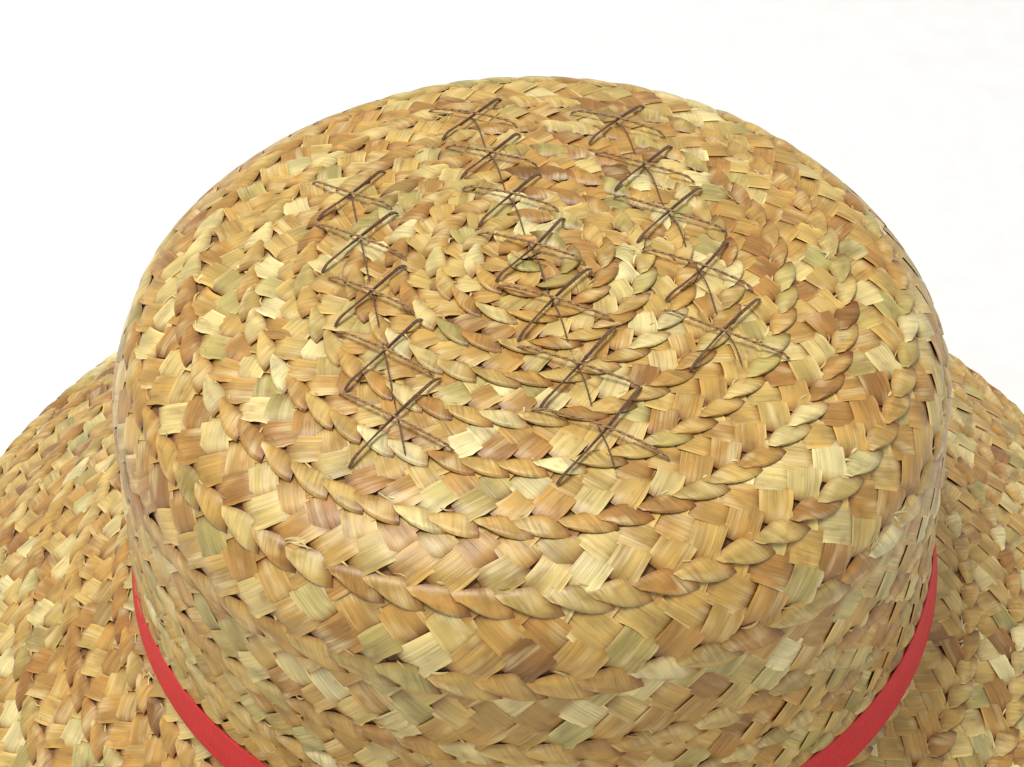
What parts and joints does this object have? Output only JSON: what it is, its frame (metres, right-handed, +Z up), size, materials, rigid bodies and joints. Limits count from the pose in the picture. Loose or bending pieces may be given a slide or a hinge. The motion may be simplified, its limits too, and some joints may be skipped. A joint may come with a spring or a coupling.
{
  "type": "straw hat",
  "caption": "Round-crowned straw sun hat of sewn spiral plait, with a drooping brim, a plain ribbon band and columns of cross stitches on the tip.",
  "frame": {"origin": "middle of the brim's lowest edge, on the surface that the hat stands on", "axes": "+Z up through the crown; the wearer's front is not marked on the object, so -Y is the side towards the viewer"},
  "size_m": [0.328, 0.3307, 0.1322],
  "materials": {
    "straw_tip": "satin flattened wheat straw, golden with cream, tan and olive straws",
    "straw_shoulder": "satin flattened wheat straw, golden with tan and brown straws",
    "straw_side": "satin flattened wheat straw, golden with cream and tan straws",
    "straw_brim": "satin flattened wheat straw, golden brown",
    "ribbon": "matt ribbed ribbon, red",
    "sweatband": "matt woven cotton tape, cream",
    "lining": "matt stiffened gauze, off-white",
    "thread": "twisted matt thread, brown"
  },
  "bodies": {
    "root": {"brim_inner_plait": "straw_brim", "brim_outer_plait": "straw_brim", "cross_stitch_left_1": "thread", "cross_stitch_left_2": "thread", "cross_stitch_left_3": "thread", "cross_stitch_left_4": "thread", "cross_stitch_left_5": "thread", "cross_stitch_middle_1": "thread", "cross_stitch_middle_2": "thread", "cross_stitch_middle_3": "thread", "cross_stitch_middle_4": "thread", "cross_stitch_middle_5": "thread", "cross_stitch_middle_6": "thread", "cross_stitch_middle_7": "thread", "cross_stitch_right_1": "thread", "cross_stitch_right_2": "thread", "cross_stitch_right_3": "thread", "cross_stitch_right_4": "thread", "cross_stitch_right_5": "thread", "crown_shoulder_plait": "straw_shoulder", "crown_side_plait": "straw_side", "crown_tip_plait": "straw_tip", "hatband_ribbon": "ribbon", "sweatband": "sweatband", "tie_thread_left": "thread", "tie_thread_middle": "thread", "tie_thread_right": "thread", "tip_lining": "lining"}
  },
  "joints": []
}
